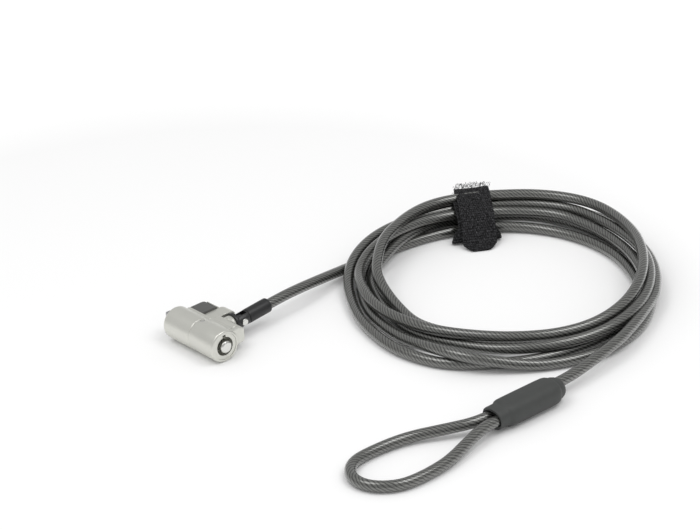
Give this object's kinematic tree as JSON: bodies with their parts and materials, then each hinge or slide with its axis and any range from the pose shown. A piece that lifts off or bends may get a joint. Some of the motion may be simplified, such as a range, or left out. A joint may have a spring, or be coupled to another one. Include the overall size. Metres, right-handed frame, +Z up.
{
  "type": "laptop cable lock",
  "caption": "Barrel laptop lock with a T-bar nose, swivelling cable end, coiled jacketed steel cable, strap, and a crimped eye at the far end.",
  "frame": {"origin": "centre of the T-bar's shank at the lock's rear seat face, on the barrel's axis", "axes": "+X along the barrel out of the laptop, +Y along the laptop's side towards the cable, +Z up"},
  "size_m": [0.1617, 0.2113, 0.0162],
  "materials": {
    "satin_nickel": "satin",
    "polished_nickel": "polished",
    "brass": "satin",
    "inner_steel": "satin",
    "black_paint": "satin",
    "grey_plastic": "matte",
    "black_rubber": "matte",
    "clear_jacket": "gloss",
    "cover_plastic": "matte",
    "crimp_aluminium": "satin",
    "strap_fabric": "matte"
  },
  "bodies": {
    "cable": {"cable_end_fork": "black_paint", "cable_rivet": "polished_nickel", "strain_sleeve": "black_rubber", "cable_lead": "clear_jacket", "cable_coil": "clear_jacket", "cable_tail": "clear_jacket", "cable_eye": "clear_jacket", "crimped_strands": "clear_jacket", "ferrule_crimp": "crimp_aluminium", "ferrule_cover": "cover_plastic", "tie_strap": "strap_fabric"},
    "swivel_yoke": {"swivel_yoke": "black_paint"},
    "lock_head": {"rear_housing": "satin_nickel", "front_casing": "satin_nickel", "lock_shell": "satin_nickel", "pin_block": "brass", "driver_pins": "brass", "pin_springs": "inner_steel", "shell_pin": "polished_nickel", "guide_pins": "polished_nickel", "nose_bush": "brass", "stop_pin": "inner_steel", "guard_pad": "grey_plastic", "pad_clip": "polished_nickel", "tube_end_cap": "satin_nickel", "swivel_retaining_pin": "inner_steel"},
    "lock_core": {"lock_plug": "polished_nickel", "key_pins": "brass", "drive_spindle": "inner_steel", "t_bar": "polished_nickel", "cam_disc": "inner_steel", "retaining_clip": "inner_steel"}
  },
  "joints": [
    {"name": "cable_pitch", "type": "hinge", "parent": "cable", "child": "swivel_yoke", "pos_m": [0.0188, 0.0187, -0.0003], "axis": [1, 0, 0], "range_deg": [-30, 30]},
    {"name": "head_swivel", "type": "hinge", "parent": "swivel_yoke", "child": "lock_head", "pos_m": [0.0188, 0.0145, -0.0003], "axis": [0, 1, 0], "continuous": true},
    {"name": "lock_turn", "type": "hinge", "parent": "lock_head", "child": "lock_core", "pos_m": [0, 0, 0], "axis": [1, 0, 0], "range_deg": [0, 90]}
  ]
}
